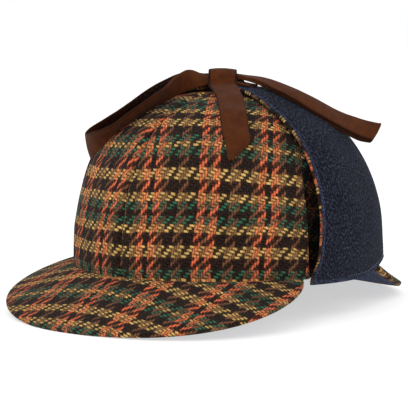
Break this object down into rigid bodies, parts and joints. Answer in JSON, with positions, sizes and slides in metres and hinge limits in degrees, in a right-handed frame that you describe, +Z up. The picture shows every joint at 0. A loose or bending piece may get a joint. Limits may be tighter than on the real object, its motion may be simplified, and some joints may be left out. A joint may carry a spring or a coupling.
{
  "type": "deerstalker hat",
  "caption": "Tweed deerstalker hat with a peak front and back and wool-lined ear flaps turned up and tied in a leather bow over the crown.",
  "frame": {"origin": "under the middle of the whole hat, on the surface that the edges of its two peaks rest on", "axes": "+Z up, -Y towards the front peak, +X towards the wearer's left"},
  "size_m": [0.1984, 0.2734, 0.1456],
  "materials": {
    "tweed": "twill weave wool, matte",
    "navy_wool": "milled wool, matte",
    "leather": "soft oiled, low sheen"
  },
  "bodies": {
    "root": {"crown_front_left_panel": "tweed", "crown_back_left_panel": "tweed", "crown_back_right_panel": "tweed", "crown_front_right_panel": "tweed", "front_peak_cloth": "tweed", "front_peak_lining": "navy_wool", "rear_peak_cloth": "tweed", "rear_peak_lining": "navy_wool", "ear_flap_left_cloth": "tweed", "ear_flap_left_lining": "navy_wool", "ear_flap_right_cloth": "tweed", "ear_flap_right_lining": "navy_wool", "tie_root_left": "leather", "tie_root_right": "leather", "bow_knot": "leather", "bow_loop_left": "leather", "bow_loop_right": "leather", "bow_tail_front": "leather", "bow_tail_back": "leather"}
  },
  "joints": []
}
